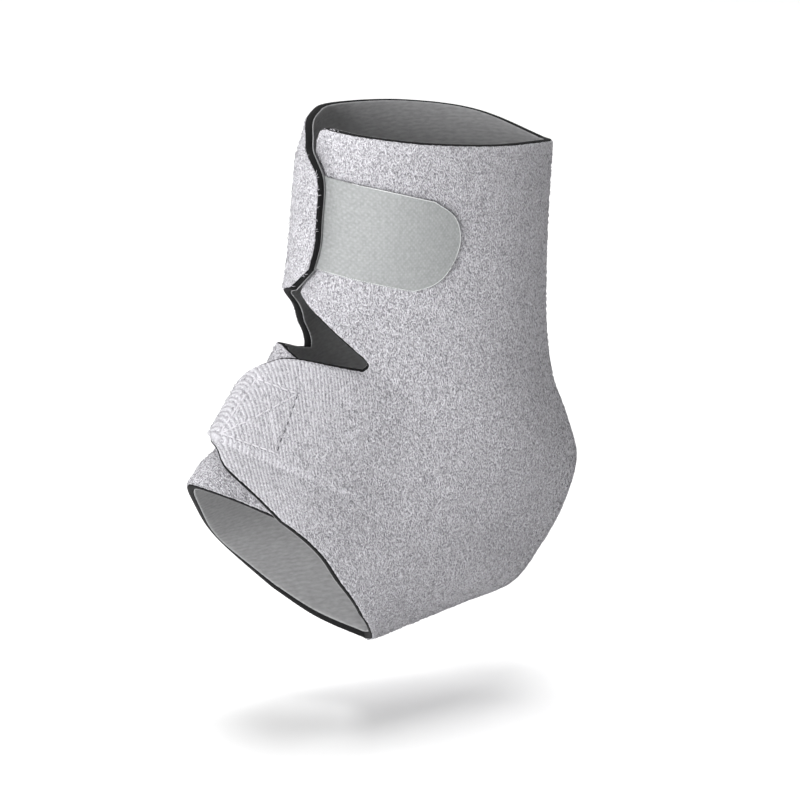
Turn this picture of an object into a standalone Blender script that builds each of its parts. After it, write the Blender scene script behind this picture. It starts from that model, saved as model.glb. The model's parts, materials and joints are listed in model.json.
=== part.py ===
"""Ankle brace: a padded knit wrap, held in the shape that it has on a left foot.

Two side panels meet at one seam that runs down the back of the leg, round the heel and
along the sole. In front each panel has an upper and a lower wing with a notch between
them at the instep. The right upper wing closes over the left one, and a hook tab sewn
inside it holds it. The left lower wing closes over the right one, on a hook patch.

Toes point to -Y, the leg goes up +Z and the wearer's left side is +X. The origin is the
middle of the ankle. Lengths here are in millimetres, and the meshes are in metres.
"""

import math
from collections import namedtuple

import bpy
import numpy as np
from mathutils import Vector
from mathutils.geometry import delaunay_2d_cdt

MM = 0.001

# Thickness of each layer of the padded knit
PANEL = 2.5          # loop-faced knit with its foam
LINING = 0.9         # inner knit
GAP = 0.3            # clearance between layers that touch
LAMINATE = PANEL + GAP + LINING
TAB = 0.9            # hook tab on the leg
PATCH = 0.8          # hook patch under the foot flap
CLOSURE_GAP = 0.4    # clearance round the two hook pieces
LEG_LIFT = LAMINATE + TAB + 2 * CLOSURE_GAP
FOOT_LIFT = LAMINATE + PATCH + 2 * CLOSURE_GAP
SEAM_GAP = 0.4       # between the two panels at the sewn seam

# Mesh
ROUND_SCALE = 150.0  # mean cloth length from the seam to the front
ALONG_SCALE = 14.0   # mean distance between two sections
EDGE_STEP = 6.5      # distance between points on an outline
FIRST_ROW = -0.1     # first and last row of inner points, in sections
LAST_ROW = 12.4
WIDEST_ROUND = 1.3   # no outline reaches further round than this
HALF_POINTS = 200    # points of the curve of half a section
FOLD_FROM = 0.8      # round at which the front fold begins
FOLD_ROOM = 50.0     # extra length that the fold gets, so that its points lie closer
COLUMN_STEP = 8.0    # distance between columns of inner points
ALONG_STEP = 0.5     # rows of inner points, in sections
EDGE_CLEAR = 3.4     # no inner point is nearer to an outline

# Sections of the outer face, from the leg opening to the foot opening. Each lies in a
# plane that holds the X direction. Fullness is the width near an end over the full width.
Section = namedtuple(
    "Section", "back_y back_z front_y front_z half_width back_fullness front_fullness"
)
SECTIONS = [
    Section(50.8, 83.0, -45.0, 101.0, 36.0, 0.62, 0.80),
    Section(49.2, 61.0, -47.3, 78.0, 36.0, 0.62, 0.80),
    Section(49.0, 39.0, -50.0, 58.0, 35.0, 0.62, 0.76),
    Section(50.0, 17.0, -54.0, 41.5, 34.0, 0.62, 0.66),
    Section(53.5, -3.0, -62.0, 28.5, 35.0, 0.62, 0.56),
    Section(60.5, -20.0, -68.0, 19.5, 35.0, 0.62, 0.51),
    Section(65.2, -37.0, -74.0, 12.5, 34.0, 0.62, 0.50),
    Section(59.0, -54.0, -79.5, 6.0, 34.0, 0.62, 0.50),
    Section(48.5, -68.0, -85.0, -1.0, 34.0, 0.62, 0.50),
    Section(36.0, -79.0, -90.0, -8.0, 35.0, 0.62, 0.49),
    Section(14.0, -83.0, -96.0, -13.5, 36.0, 0.62, 0.48),
    Section(-8.0, -86.5, -101.0, -19.0, 36.0, 0.62, 0.46),
    Section(-27.5, -89.5, -105.0, -24.0, 36.0, 0.62, 0.44),
]
BACK_SHARE = 0.15    # where the back fullness is measured, as a share of the depth
FRONT_SHARE = 0.86   # where the front fullness is measured

# Outlines are drawn on the cloth as (round, along): round runs from 0 at the seam to 1 at
# the front and on over the other side, along counts sections. Runs meet at corners.
LEFT_PANEL = [
    [(0.0, -0.03), (0.25, -0.13), (0.5, -0.06), (0.75, 0.02), (0.9, 0.06), (1.0, 0.07)],
    [(1.0, 0.07), (1.022, 0.12), (1.03, 0.3)],
    [(1.03, 0.3), (1.03, 1.6), (1.03, 3.04)],
    [(1.03, 3.04), (0.94, 3.42), (0.857, 3.86), (0.798, 4.24)],
    [(0.798, 4.24), (0.785, 4.41), (0.795, 4.58)],
    [(0.795, 4.58), (0.9, 4.62), (0.96, 4.81), (0.99, 5.3), (1.02, 6.1), (1.07, 6.8)],
    [(1.07, 6.8), (1.08, 7.6), (1.08, 8.3)],
    [(1.08, 8.3), (1.065, 8.75), (1.02, 9.0)],
    [(1.02, 9.0), (0.991, 9.33), (0.95, 9.95), (0.84, 10.53), (0.768, 10.9)],
    [(0.768, 10.9), (0.64, 11.2), (0.54, 11.62), (0.453, 11.88), (0.36, 12.08)],
    [(0.36, 12.08), (0.2, 12.15), (0.0, 12.04)],
    [(0.0, 12.04), (0.0, -0.03)],
]
RIGHT_PANEL = [
    [(0.0, -0.03), (0.2, -0.27), (0.4, -0.27), (0.6, -0.14), (0.8, -0.02), (0.92, 0.02)],
    [(0.92, 0.02), (0.955, 0.12), (0.97, 0.33), (1.011, 0.55), (1.033, 0.78)],
    [(1.033, 0.78), (1.038, 1.08), (1.037, 1.5), (1.04, 1.95), (1.03, 2.46)],
    [(1.03, 2.46), (1.008, 2.7), (0.981, 3.0)],
    [(0.981, 3.0), (0.925, 3.14), (0.868, 3.36), (0.807, 3.8)],
    [(0.807, 3.8), (0.767, 4.08), (0.748, 4.33), (0.745, 4.56)],
    [(0.745, 4.56), (0.8, 4.56), (0.86, 4.48), (0.948, 4.36), (1.0, 4.33)],
    [(1.0, 4.33), (1.06, 4.72), (1.12, 5.4)],
    [(1.12, 5.4), (1.17, 8.5), (1.232, 10.7)],
    [(1.232, 10.7), (1.118, 10.93), (1.0, 11.28), (0.8, 11.63), (0.48, 11.93), (0.3, 12.13)],
    [(0.3, 12.13), (0.15, 12.18), (0.0, 12.04)],
    [(0.0, 12.04), (0.0, -0.03)],
]
LEG_TAB = [
    [(1.02, 0.78), (0.954, 0.8), (0.8, 0.82), (0.67, 0.89)],
    [(0.67, 0.89), (0.613, 1.1), (0.593, 1.46), (0.611, 1.9), (0.649, 2.24), (0.705, 2.44)],
    [(0.705, 2.44), (0.82, 2.41), (1.02, 2.36)],
    [(1.02, 2.36), (1.02, 0.78)],
]
FOOT_PATCH = [
    [(0.89, 5.95), (1.02, 6.4)],
    [(1.02, 6.4), (1.04, 8.2)],
    [(1.04, 8.2), (0.98, 8.6), (0.885, 8.65)],
    [(0.885, 8.65), (0.89, 5.95)],
]

# Where a lower wing hides the other panel's edge, as (along, round) on the left side
HIDDEN_EDGE = [(3.9, 1.25), (4.3, 1.0), (4.75, 0.92), (5.4, 0.865), (8.5, 0.815), (12.0, 0.72)]
HIDDEN_RAMP = 0.1    # the wing rises over this much of the round before that edge
WING_START = 0.76    # the right upper wing rises from here to the front
WING_RAMP = 0.2
WING_END = 3.0       # and comes down again from this section
WING_FADE = 1.3
BARE_LIFT = LAMINATE + CLOSURE_GAP   # lift of that wing above the tab, at the leg opening
TAB_START = 0.15     # from this section on it rises over the tab
TAB_RAMP = 0.5

COLOURS = {
    "left_panel": (0.48, 0.47, 0.48, 1.0),
    "right_panel": (0.48, 0.47, 0.48, 1.0),
    "left_lining": (0.20, 0.20, 0.21, 1.0),
    "right_lining": (0.20, 0.20, 0.21, 1.0),
    "leg_tab": (0.50, 0.52, 0.51, 1.0),
    "foot_hook_patch": (0.30, 0.31, 0.31, 1.0),
}


def catmull_rom(values, at):
    """Value of a smooth curve through equally spaced values, straight beyond its ends."""
    last = len(values) - 1
    i = min(max(int(math.floor(at)), 0), last - 1)
    f = at - i
    here, there = values[i], values[i + 1]
    before = values[i - 1] if i > 0 else 2 * here - there
    after = values[i + 2] if i + 2 <= last else 2 * there - here
    m0, m1 = (there - before) / 2, (after - here) / 2
    if f < 0:
        return here + m0 * f
    if f > 1:
        return there + m1 * (f - 1)
    return (
        (2 * f**3 - 3 * f**2 + 1) * here
        + (f**3 - 2 * f**2 + f) * m0
        + (3 * f**2 - 2 * f**3) * there
        + (f**3 - f**2) * m1
    )


def smooth_step(value):
    value = np.clip(value, 0.0, 1.0)
    return value * value * (3 - 2 * value)


def natural_cubic(points, count):
    """Evenly sampled cubic curve through points, with free ends."""
    chords = np.linalg.norm(np.diff(points, axis=0), axis=1) ** 0.6
    knots = np.concatenate([[0.0], np.cumsum(chords)])
    n = len(points)
    system = np.eye(n)
    right = np.zeros((n, 2))
    for i in range(1, n - 1):
        before, after = chords[i - 1], chords[i]
        system[i, i - 1 : i + 2] = before, 2 * (before + after), after
        right[i] = 6 * (
            (points[i + 1] - points[i]) / after - (points[i] - points[i - 1]) / before
        )
    bend = np.linalg.solve(system, right)
    at = np.linspace(0, knots[-1], count)
    i = np.clip(np.searchsorted(knots, at, side="right") - 1, 0, n - 2)
    h = chords[i][:, None]
    a = (knots[i + 1] - at)[:, None]
    b = (at - knots[i])[:, None]
    return (
        (bend[i] * a**3 + bend[i + 1] * b**3) / (6 * h)
        + (points[i] / h - bend[i] * h / 6) * a
        + (points[i + 1] / h - bend[i + 1] * h / 6) * b
    )


def half_section(along, count):
    """Left half of a section, from the seam to the front, equally spaced on the cloth."""
    row = Section(*(catmull_rom(column, along) for column in zip(*SECTIONS)))
    rise = np.array([row.front_y - row.back_y, row.front_z - row.back_z])
    depth = np.hypot(*rise)
    full = row.half_width
    half = [
        (0.0, 0.0),
        (full * row.back_fullness, BACK_SHARE * depth),
        (full, 0.5 * depth),
        (full * row.front_fullness, FRONT_SHARE * depth),
        (0.0, depth),
    ]
    other = [(-side, deep) for side, deep in reversed(half[:-1])]
    curve = natural_cubic(np.array(half + other), 2 * HALF_POINTS + 1)[: HALF_POINTS + 1]
    length = np.concatenate([[0], np.cumsum(np.linalg.norm(np.diff(curve, axis=0), axis=1))])
    even = np.linspace(0, length[-1], count)
    side = np.interp(even, length, curve[:, 0])
    share = np.interp(even, length, curve[:, 1]) / depth
    return np.stack([side, row.back_y + rise[0] * share, row.back_z + rise[1] * share], 1)


class Cloth:
    """The outer face of the wrap, as a grid of points and outward directions."""

    FIRST, LAST, ROWS, COLUMNS = -1.0, 13.0, 281, 151

    def __init__(self):
        rows = np.linspace(self.FIRST, self.LAST, self.ROWS)
        self.points = np.array([half_section(at, self.COLUMNS) for at in rows])
        across = np.gradient(self.points, axis=1)
        down = np.gradient(self.points, axis=0)
        out = np.cross(across, down)
        out /= np.linalg.norm(out, axis=2, keepdims=True)
        out[:, -1, 0] = 0.0
        out[:, -1] /= np.linalg.norm(out[:, -1], axis=1, keepdims=True)
        # The two panels mitre at the seam, so that direction stays in its plane.
        seam = out[:, 0].copy()
        seam[:, 0] = 0.0
        out[:, 0] = seam / np.sum(seam * seam, axis=1, keepdims=True)
        self.out = out

    def at(self, side, round_, along, height):
        """Point at a height over the outer face. Beyond round 1 it is on the other side."""
        if round_ > 1:
            side, round_ = -side, 2 - round_
        i = (along - self.FIRST) / (self.LAST - self.FIRST) * (self.ROWS - 1)
        j = round_ * (self.COLUMNS - 1)
        i0 = min(max(int(i), 0), self.ROWS - 2)
        j0 = min(max(int(j), 0), self.COLUMNS - 2)
        fi, fj = i - i0, j - j0
        weights = ((1 - fi) * (1 - fj), (1 - fi) * fj, fi * (1 - fj), fi * fj)
        corners = ((i0, j0), (i0, j0 + 1), (i0 + 1, j0), (i0 + 1, j0 + 1))
        point = sum(w * self.points[c] for w, c in zip(weights, corners))
        out = sum(w * self.out[c] for w, c in zip(weights, corners))
        x, y, z = point + out * height
        if round_ < 0.5:
            x = max(x, SEAM_GAP / 2)
        return side * x * MM, y * MM, z * MM


def left_lift(round_, along):
    """The left lower wing rises over the edge of the right one."""
    edge = np.interp(along, *zip(*HIDDEN_EDGE))
    return FOOT_LIFT * smooth_step((round_ - edge) / HIDDEN_RAMP + 1)


def right_lift(round_, along):
    """The right upper wing rises over the front edge of the left one."""
    up = smooth_step((round_ - WING_START) / WING_RAMP)
    over_tab = smooth_step((along - TAB_START) / TAB_RAMP)
    full = BARE_LIFT + (LEG_LIFT - BARE_LIFT) * over_tab
    return full * up * (1 - smooth_step((along - WING_END) / WING_FADE))


def flat(point):
    """Cloth coordinates as rough millimetres on a flat pattern, wider at the front fold."""
    round_, along = point
    fold = smooth_step((round_ - FOLD_FROM) / (2 - 2 * FOLD_FROM))
    return ROUND_SCALE * round_ + FOLD_ROOM * fold, ALONG_SCALE * along


def trace(runs):
    """Points along an outline, evenly spaced on each smooth run."""
    outline = []
    for run in runs:
        columns = list(zip(*run))
        at = np.linspace(0, len(run) - 1, 20 * (len(run) - 1) + 1)
        curve = [tuple(catmull_rom(column, a) for column in columns) for a in at]
        paper = np.array([flat(point) for point in curve])
        steps = np.linalg.norm(np.diff(paper, axis=0), axis=1)
        length = np.concatenate([[0], np.cumsum(steps)])
        count = max(1, round(length[-1] / EDGE_STEP))
        even = np.linspace(0, length[-1], count + 1)[:-1]
        rounds, alongs = (np.interp(even, length, column) for column in zip(*curve))
        outline += list(zip(rounds, alongs))
    return outline


def inside(outline, point):
    x, y = point
    result = False
    for (x0, y0), (x1, y1) in zip(outline, outline[1:] + outline[:1]):
        if (y0 > y) != (y1 > y) and x < x0 + (y - y0) / (y1 - y0) * (x1 - x0):
            result = not result
    return result


def edge_distance(outline, point):
    p = np.array(flat(point))
    starts = np.array([flat(q) for q in outline])
    runs = np.roll(starts, -1, axis=0) - starts
    share = np.sum((p - starts) * runs, axis=1) / np.sum(runs * runs, axis=1)
    nearest = starts + np.clip(share, 0, 1)[:, None] * runs
    return np.min(np.linalg.norm(nearest - p, axis=1))


def fill(outline):
    """Triangles that fill an outline on the cloth, with points inside it."""
    points = list(outline)
    known = np.linspace(0, WIDEST_ROUND, 261)
    widths = [flat((round_, 0))[0] for round_ in known]
    for row, along in enumerate(np.arange(FIRST_ROW, LAST_ROW, ALONG_STEP)):
        first = COLUMN_STEP if row % 2 else 1.5 * COLUMN_STEP
        for round_ in np.interp(np.arange(first, widths[-1], COLUMN_STEP), widths, known):
            point = (round_, along)
            if inside(outline, point) and edge_distance(outline, point) > EDGE_CLEAR:
                points.append(point)
    loop = list(range(len(outline)))
    found = delaunay_2d_cdt([Vector(flat(p)) for p in points], [], [loop], 1, 1e-4)
    return [points[first] for first, *_ in found[3]], [tuple(face) for face in found[2]]


def sheet(name, cloth, side, runs, bottom, top, lift=None):
    """Closed piece of cloth between two heights over the outer face of the wrap."""
    points, faces = fill(trace(runs))
    n = len(points)
    verts = []
    for height in (bottom, top):
        for round_, along in points:
            raised = height + (lift(round_, along) if lift else 0.0)
            verts.append(cloth.at(side, round_, along, raised))
    edges = {}
    for face in faces:
        for a, b in zip(face, face[1:] + face[:1]):
            edges[(a, b)] = face
    rim = [(a, b) for a, b in edges if (b, a) not in edges]
    solid = []
    for face in faces:
        solid.append(tuple(i + n for i in face))
        solid.append(tuple(reversed(face)))
    for a, b in rim:
        solid.append((a, b, b + n))
        solid.append((a, b + n, a + n))
    if side < 0:
        solid = [tuple(reversed(face)) for face in solid]
    mesh = bpy.data.meshes.new(name)
    mesh.from_pydata(verts, [], solid)
    mesh.update()
    mesh.validate()
    mesh.shade_smooth()
    mesh.set_sharp_from_angle(angle=math.radians(40))
    piece = bpy.data.objects.new(name, mesh)
    bpy.context.collection.objects.link(piece)
    finish(piece)
    return piece


def finish(piece):
    """Matt cloth in the piece's own colour."""
    material = bpy.data.materials.new(piece.name)
    material.use_nodes = True
    shader = material.node_tree.nodes["Principled BSDF"]
    shader.inputs["Base Color"].default_value = COLOURS[piece.name]
    shader.inputs["Roughness"].default_value = 0.9
    shader.inputs["Metallic"].default_value = 0.0
    piece.data.materials.append(material)


def make_panels(cloth):
    for name, side, runs, lift in (
        ("left", 1, LEFT_PANEL, left_lift),
        ("right", -1, RIGHT_PANEL, right_lift),
    ):
        sheet(name + "_panel", cloth, side, runs, -PANEL, 0.0, lift)
        sheet(name + "_lining", cloth, side, runs, -LAMINATE, -LAMINATE + LINING, lift)


def make_closures(cloth):
    sheet("leg_tab", cloth, 1, LEG_TAB, CLOSURE_GAP, CLOSURE_GAP + TAB)
    sheet("foot_hook_patch", cloth, 1, FOOT_PATCH, CLOSURE_GAP, CLOSURE_GAP + PATCH)


def main():
    for old in list(bpy.data.objects):
        bpy.data.objects.remove(old, do_unlink=True)
    cloth = Cloth()
    make_panels(cloth)
    make_closures(cloth)


main()
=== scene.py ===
"""Looks of an ankle brace in padded knit, dressed round its solid model.

The cloth is a laminate of three layers: a loop-faced knit outside, a black foam core and
a knit lining. Each layer is a closed sheet over the surface that the solids have. Toes
point to -Y, the leg goes up +Z and the wearer's left side is +X.
"""

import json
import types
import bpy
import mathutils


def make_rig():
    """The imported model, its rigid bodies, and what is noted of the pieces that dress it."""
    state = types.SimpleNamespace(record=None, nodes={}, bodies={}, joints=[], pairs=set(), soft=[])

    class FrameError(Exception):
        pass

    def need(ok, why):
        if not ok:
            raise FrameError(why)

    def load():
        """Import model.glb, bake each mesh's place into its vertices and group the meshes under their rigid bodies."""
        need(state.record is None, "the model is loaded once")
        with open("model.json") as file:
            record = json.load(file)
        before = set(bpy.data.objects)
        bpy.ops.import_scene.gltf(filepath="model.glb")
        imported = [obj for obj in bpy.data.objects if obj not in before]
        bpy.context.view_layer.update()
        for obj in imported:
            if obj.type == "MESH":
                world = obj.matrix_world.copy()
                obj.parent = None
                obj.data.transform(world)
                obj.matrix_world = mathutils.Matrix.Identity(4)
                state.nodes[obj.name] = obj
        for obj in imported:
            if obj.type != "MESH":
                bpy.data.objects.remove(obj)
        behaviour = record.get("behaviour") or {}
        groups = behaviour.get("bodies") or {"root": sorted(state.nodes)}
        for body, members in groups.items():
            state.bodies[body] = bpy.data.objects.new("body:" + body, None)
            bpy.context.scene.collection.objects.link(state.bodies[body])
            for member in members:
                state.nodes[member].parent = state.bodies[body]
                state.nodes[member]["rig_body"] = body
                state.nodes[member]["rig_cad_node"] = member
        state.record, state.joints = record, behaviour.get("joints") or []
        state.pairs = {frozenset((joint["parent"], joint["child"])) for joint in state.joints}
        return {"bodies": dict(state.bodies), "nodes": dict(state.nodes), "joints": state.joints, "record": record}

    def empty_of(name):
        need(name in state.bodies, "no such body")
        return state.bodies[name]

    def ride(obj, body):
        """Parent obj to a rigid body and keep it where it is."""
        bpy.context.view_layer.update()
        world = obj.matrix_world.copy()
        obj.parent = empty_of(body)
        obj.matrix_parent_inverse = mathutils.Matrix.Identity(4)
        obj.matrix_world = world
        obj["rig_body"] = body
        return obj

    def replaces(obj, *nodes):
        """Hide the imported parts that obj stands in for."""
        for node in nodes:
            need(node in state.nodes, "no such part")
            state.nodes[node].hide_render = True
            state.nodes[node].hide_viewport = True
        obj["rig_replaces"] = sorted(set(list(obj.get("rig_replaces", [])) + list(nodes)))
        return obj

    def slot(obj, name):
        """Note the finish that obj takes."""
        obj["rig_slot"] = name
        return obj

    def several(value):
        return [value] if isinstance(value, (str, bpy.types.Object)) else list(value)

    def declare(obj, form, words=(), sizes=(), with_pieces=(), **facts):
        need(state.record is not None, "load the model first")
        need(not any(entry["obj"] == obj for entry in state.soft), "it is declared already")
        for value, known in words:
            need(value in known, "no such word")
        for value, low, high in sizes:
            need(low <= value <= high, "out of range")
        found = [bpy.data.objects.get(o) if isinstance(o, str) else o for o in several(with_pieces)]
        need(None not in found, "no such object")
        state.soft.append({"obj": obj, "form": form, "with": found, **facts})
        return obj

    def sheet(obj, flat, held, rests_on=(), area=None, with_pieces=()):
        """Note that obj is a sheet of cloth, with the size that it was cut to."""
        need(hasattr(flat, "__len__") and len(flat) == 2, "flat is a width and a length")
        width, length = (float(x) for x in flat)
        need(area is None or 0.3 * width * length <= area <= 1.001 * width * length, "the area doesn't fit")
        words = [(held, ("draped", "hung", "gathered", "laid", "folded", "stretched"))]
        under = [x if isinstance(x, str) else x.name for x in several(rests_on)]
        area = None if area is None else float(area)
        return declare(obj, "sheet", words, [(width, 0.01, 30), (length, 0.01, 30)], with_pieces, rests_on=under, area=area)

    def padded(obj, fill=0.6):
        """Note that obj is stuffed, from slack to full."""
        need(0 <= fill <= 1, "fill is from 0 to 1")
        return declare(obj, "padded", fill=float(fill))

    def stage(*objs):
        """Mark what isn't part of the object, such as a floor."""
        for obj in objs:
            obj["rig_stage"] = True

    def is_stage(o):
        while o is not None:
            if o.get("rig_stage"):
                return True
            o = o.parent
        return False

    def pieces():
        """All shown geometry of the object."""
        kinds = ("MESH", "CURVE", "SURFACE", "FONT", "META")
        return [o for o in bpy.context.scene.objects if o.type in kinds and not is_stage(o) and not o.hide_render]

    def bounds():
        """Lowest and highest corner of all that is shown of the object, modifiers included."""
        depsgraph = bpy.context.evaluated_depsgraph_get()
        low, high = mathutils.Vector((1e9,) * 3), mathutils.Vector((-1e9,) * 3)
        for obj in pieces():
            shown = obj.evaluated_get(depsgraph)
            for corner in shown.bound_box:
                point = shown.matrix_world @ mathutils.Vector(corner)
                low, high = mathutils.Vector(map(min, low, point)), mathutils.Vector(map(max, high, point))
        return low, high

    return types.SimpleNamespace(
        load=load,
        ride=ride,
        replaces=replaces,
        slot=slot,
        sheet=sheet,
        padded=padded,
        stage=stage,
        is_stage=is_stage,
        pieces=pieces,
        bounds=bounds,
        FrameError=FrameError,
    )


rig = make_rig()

bl_info = {
    "name": "Ankle Brace Dresser",
    "version": (1, 0, 0),
    "blender": (4, 5, 0),
    "location": "3D View > Sidebar > Brace",
    "description": "Builds the knit, foam, lining, hook tapes and stitching of an ankle brace",
    "category": "Object",
}

import json
import math
from collections import namedtuple

import bpy
import numpy as np
from bpy.props import FloatProperty, FloatVectorProperty, PointerProperty
from mathutils import Vector, noise
from mathutils.geometry import delaunay_2d_cdt
from mathutils.kdtree import KDTree

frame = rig.load()
CAD_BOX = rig.bounds()

MM = 0.001
BODY = "root"
SIZE_FILE = "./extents.json"

# Layers of the laminate, as heights over the outer face in millimetres
KNIT_FOOT = -0.6
FOAM_FOOT = -3.2
LINING_FOOT = -3.7
TAB_THICK = 0.9
PATCH_THICK = 0.8
CLOSURE_GAP = 0.4
LEG_LIFT = -LINING_FOOT + TAB_THICK + 2 * CLOSURE_GAP
BARE_LIFT = -LINING_FOOT + CLOSURE_GAP
FOOT_LIFT = -LINING_FOOT + PATCH_THICK + 2 * CLOSURE_GAP
SEAM_GAP = 0.1

# Sections of the outer face, from the leg opening to the foot opening. Each lies in a
# plane that holds the X direction. Fullness is the width near an end over the full width.
Section = namedtuple(
    "Section", "back_y back_z front_y front_z half_width back_fullness front_fullness"
)
SECTIONS = [
    Section(50.8, 83.0, -45.0, 101.0, 36.0, 0.62, 0.80),
    Section(49.2, 61.0, -47.3, 78.0, 36.0, 0.62, 0.80),
    Section(49.0, 39.0, -50.0, 58.0, 35.0, 0.62, 0.76),
    Section(50.0, 17.0, -54.0, 41.5, 34.0, 0.62, 0.66),
    Section(53.5, -3.0, -62.0, 28.5, 35.0, 0.62, 0.56),
    Section(60.5, -20.0, -68.0, 19.5, 35.0, 0.62, 0.51),
    Section(65.2, -37.0, -74.0, 12.5, 34.0, 0.62, 0.50),
    Section(59.0, -54.0, -79.5, 6.0, 34.0, 0.62, 0.50),
    Section(48.5, -68.0, -85.0, -1.0, 34.0, 0.62, 0.50),
    Section(36.0, -79.0, -90.0, -8.0, 35.0, 0.62, 0.49),
    Section(14.0, -83.0, -96.0, -13.5, 36.0, 0.62, 0.48),
    Section(-8.0, -86.5, -101.0, -19.0, 36.0, 0.62, 0.46),
    Section(-27.5, -89.5, -105.0, -24.0, 36.0, 0.62, 0.44),
]
# Depths at which the width near the back and near the front is given, over the full depth
BACK_SHARE = 0.15
FRONT_SHARE = 0.86
# Knots of the curve round a section lie apart by this power of the distance between points
KNOT_POWER = 0.6

# Outlines are drawn on the cloth as (round, along): round runs from 0 at the seam to 1 at
# the front and on over the other side, along counts sections. Runs meet at corners.
LEFT_PANEL = [
    [(0.0, -0.03), (0.25, -0.13), (0.5, -0.06), (0.75, 0.02), (0.9, 0.06), (1.0, 0.07)],
    [(1.0, 0.07), (1.03, 0.12), (1.045, 0.3)],
    [(1.045, 0.3), (1.04, 1.6), (1.03, 3.04)],
    [(1.03, 3.04), (0.94, 3.42), (0.857, 3.86), (0.798, 4.24)],
    [(0.798, 4.24), (0.785, 4.41), (0.795, 4.58)],
    [(0.795, 4.58), (0.9, 4.62), (0.96, 4.81), (0.99, 5.3), (1.02, 6.1), (1.07, 6.8)],
    [(1.07, 6.8), (1.08, 7.6), (1.08, 8.3)],
    [(1.08, 8.3), (1.065, 8.75), (1.02, 9.0)],
    [(1.02, 9.0), (0.991, 9.33), (0.95, 9.95), (0.84, 10.53), (0.768, 10.9)],
    [(0.768, 10.9), (0.64, 11.2), (0.54, 11.62), (0.453, 11.88), (0.36, 12.08)],
    [(0.36, 12.08), (0.2, 12.15), (0.0, 12.04)],
    [(0.0, 12.04), (0.0, -0.03)],
]
RIGHT_PANEL = [
    [
        (0.0, -0.03), (0.2, -0.27), (0.4, -0.27), (0.6, -0.16), (0.76, -0.06), (0.85, 0.0),
        (0.91, 0.1), (0.945, 0.25), (0.965, 0.42), (1.0, 0.58), (1.025, 0.76),
        (1.035, 1.0), (1.037, 1.5), (1.04, 1.95), (1.03, 2.46),
    ],
    [(1.03, 2.46), (1.008, 2.7), (0.981, 3.0)],
    [(0.981, 3.0), (0.925, 3.14), (0.868, 3.36), (0.807, 3.8)],
    [(0.807, 3.8), (0.767, 4.08), (0.748, 4.33), (0.745, 4.56)],
    [(0.745, 4.56), (0.8, 4.56), (0.86, 4.48), (0.948, 4.36), (1.0, 4.33)],
    [(1.0, 4.33), (1.06, 4.72), (1.12, 5.4)],
    [(1.12, 5.4), (1.17, 8.5), (1.232, 10.7)],
    [(1.232, 10.7), (1.118, 10.93), (1.0, 11.28), (0.8, 11.63), (0.48, 11.93), (0.3, 12.13)],
    [(0.3, 12.13), (0.15, 12.18), (0.0, 12.04)],
    [(0.0, 12.04), (0.0, -0.03)],
]
LEG_TAB = [
    [(1.02, 0.78), (0.954, 0.8), (0.8, 0.82), (0.67, 0.89)],
    [(0.67, 0.89), (0.613, 1.1), (0.593, 1.46), (0.611, 1.9), (0.649, 2.24), (0.705, 2.44)],
    [(0.705, 2.44), (0.82, 2.41), (1.02, 2.36)],
    [(1.02, 2.36), (1.02, 0.78)],
]
FOOT_PATCH = [
    [(0.89, 5.95), (1.02, 6.4)],
    [(1.02, 6.4), (1.04, 8.2)],
    [(1.04, 8.2), (0.98, 8.6), (0.885, 8.65)],
    [(0.885, 8.65), (0.89, 5.95)],
]

# Where the left lower wing has risen clear of the right panel's edge, as (along, round) on
# the left side. It rises over this much round before that.
HIDDEN_EDGE = [(3.9, 1.25), (4.3, 1.0), (4.75, 0.92), (5.4, 0.865), (8.5, 0.815), (12.0, 0.72)]
HIDDEN_RAMP = 0.22
# The right upper wing rises from this round on, over this much more
WING_START = 0.76
WING_RAMP = 0.2
# Lower down it comes back to the leg, from this along on, over this many sections
WING_END = 3.0
WING_FADE = 0.7
# Its top lies on the bare panel, and it rises further over the hook tab from this along on
TAB_START = 0.15
TAB_RAMP = 0.5
# The left lower wing comes down past its hook patch, from this along on
PATCH_END = 8.7
PATCH_RAMP = 0.3
# The right panel swells by this much where it comes out from under the left lower wing,
# over this many sections, and from this round on over this much more
STRIP_RISE = 0.8
STRIP_RAMP = 1.2
STRIP_START = 0.7
STRIP_FADE = 0.25
# Where that wing ends, as (round, along) on the right side
FLAP_END = [(0.9, 8.6), (0.98, 9.05), (1.009, 9.4), (1.05, 10.0), (1.16, 10.6), (1.25, 11.0)]
# The wing's top edge curls in by this much, over these alongs and either side of this round
CURL = 1.8
CURL_DEPTH = 0.75
CURL_MIDDLE = 0.84
CURL_REACH = 0.18

# Outlines are laid out flat at about this many millimetres to one round and to one section
ROUND_SCALE = 150.0
ALONG_SCALE = 14.0
# Points on the finished outlines lie this far apart, at least and at most, in millimetres
EDGE_STEPS = (0.5, 0.8)
# Points that are read between two points of an outline, and along a line of stitches, the
# groove under it, the seam and the middle of a panel
TRACE_POINTS = 20
STITCH_POINTS = 80
GROOVE_POINTS = 60
SEAM_POINTS = 400
MIDDLE_POINTS = 60
# Distance between the outline points that a flat size is measured at
FLAT_STEP = 2.0
# Distances between points on the outer and the inner face of a layer. Hidden faces are coarse.
CORE_SPACINGS = (4.0, 4.0)
LINING_SPACINGS = (5.0, 1.5)
TAPE_SPACINGS = (0.8, 3.0)
KNIT_UNDERSIDE = 5.0

# Strokes of the pile run nearly upright and lean back by this angle. Their size sideways,
# forward and upward is given against the loop spacing.
PILE_LEAN = math.radians(11)
PILE_SHAPE = (0.42, 0.37, 0.57)
# The pile's height is a sum of noises. Size is in loop spacings, and seed shifts the noise.
PileNoise = namedtuple("PileNoise", "share size seed")
PILE_NOISES = (PileNoise(1.5, 1.7, 5.3), PileNoise(0.25, 6, 17.9))
# On the ribs the pile is lower by this share
RIB_FLATNESS = 0.5

# Ribs of the knit run across the foot, in planes that face this way
RIB_PLANE = (0.0, 0.998, -0.06)
RIB_SPACING = 1.07
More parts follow.
